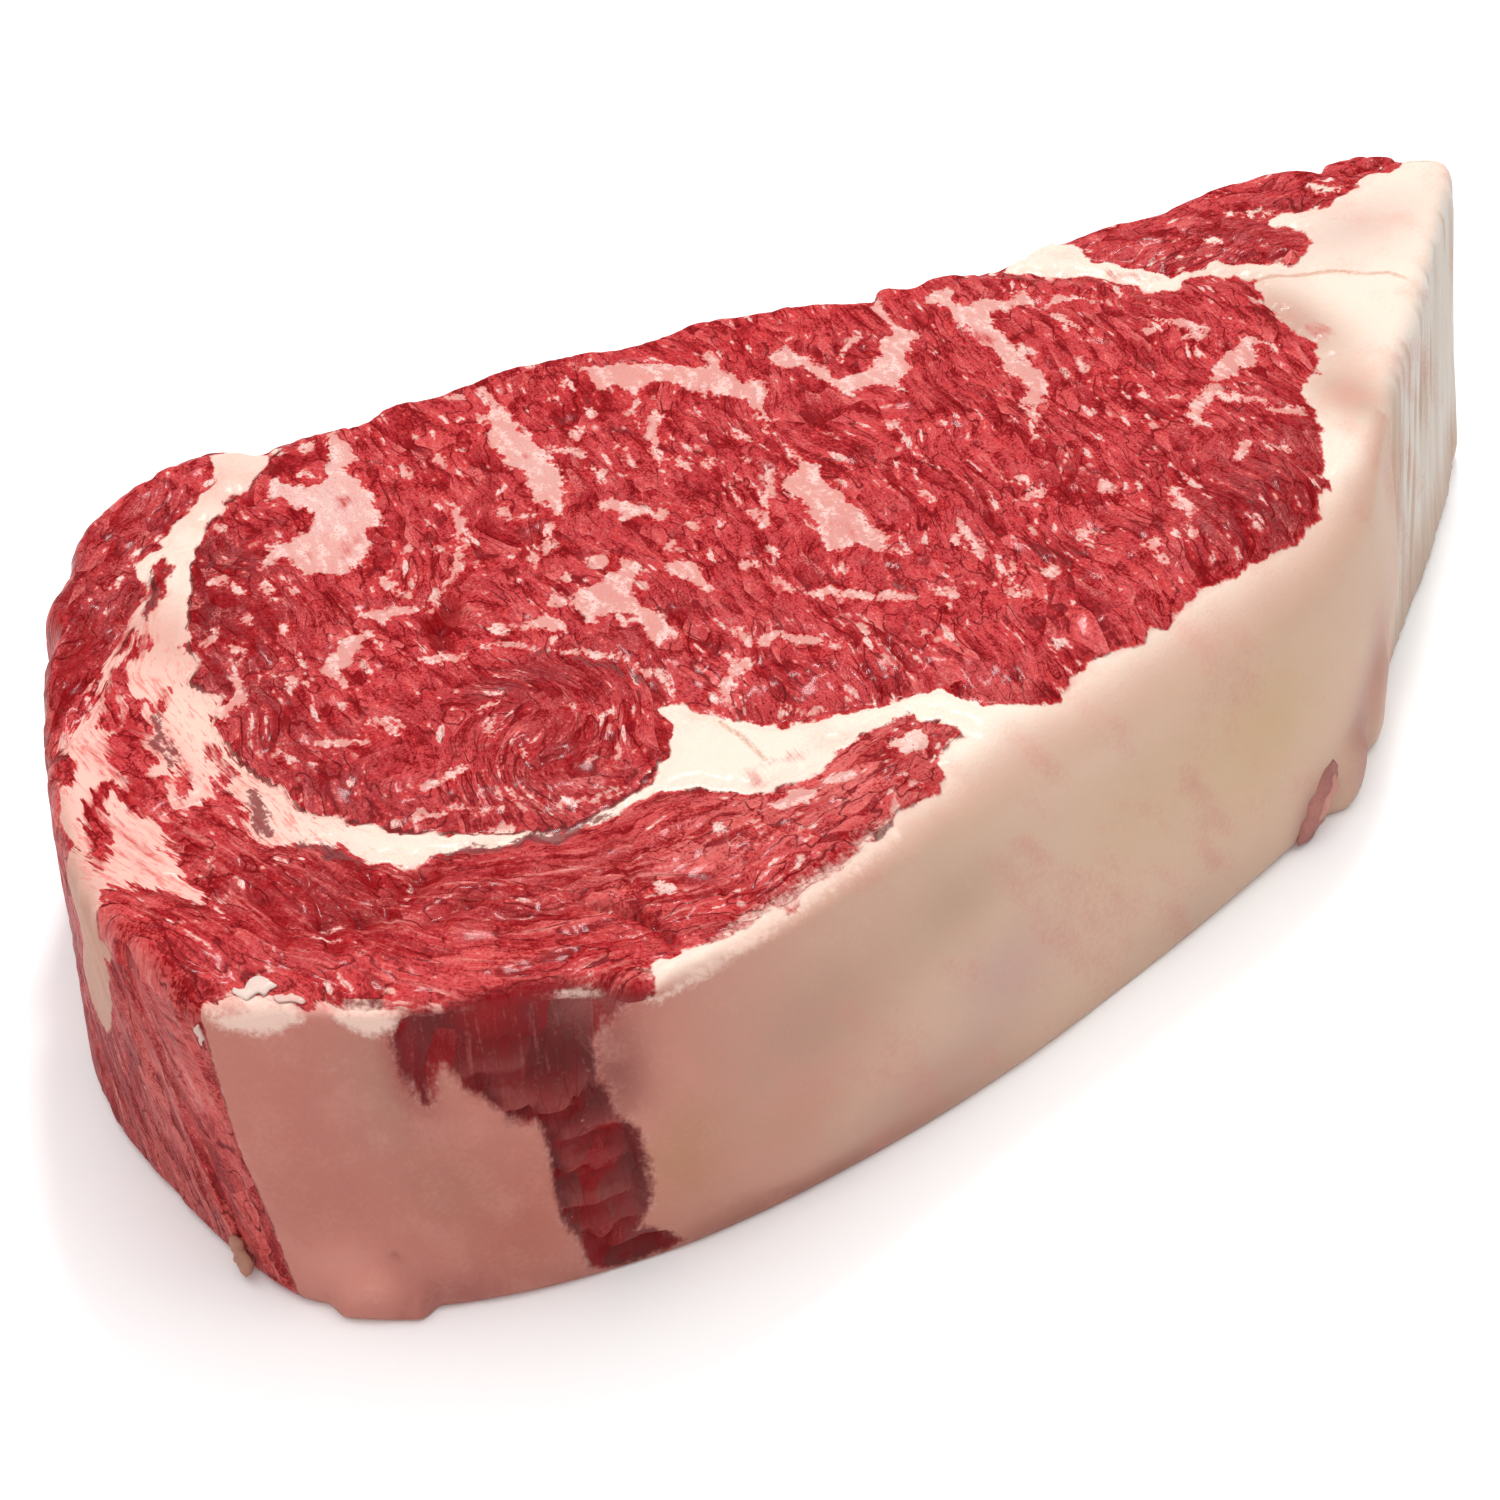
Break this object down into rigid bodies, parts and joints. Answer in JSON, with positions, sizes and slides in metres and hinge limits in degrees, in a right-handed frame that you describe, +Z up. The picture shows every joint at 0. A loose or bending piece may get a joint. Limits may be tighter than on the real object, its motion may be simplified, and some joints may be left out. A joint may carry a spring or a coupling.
{
  "type": "ribeye steak",
  "caption": "Thick raw slice of beef rib, lying flat on one cut face, with a marbled eye, a crescent cap muscle, and fat along one edge and at a pointed corner.",
  "frame": {"origin": "middle of the bounding box's bottom face, on the cut face that the steak lies on", "axes": "+X along the steak to its pointed fat corner, -Y to the fat cap, +Y to the rib side, +Z up out of the upper cut face"},
  "size_m": [0.213, 0.11, 0.0408],
  "materials": {
    "raw_beef": null
  },
  "bodies": {
    "root": {"ribeye_steak": "raw_beef"}
  },
  "joints": []
}
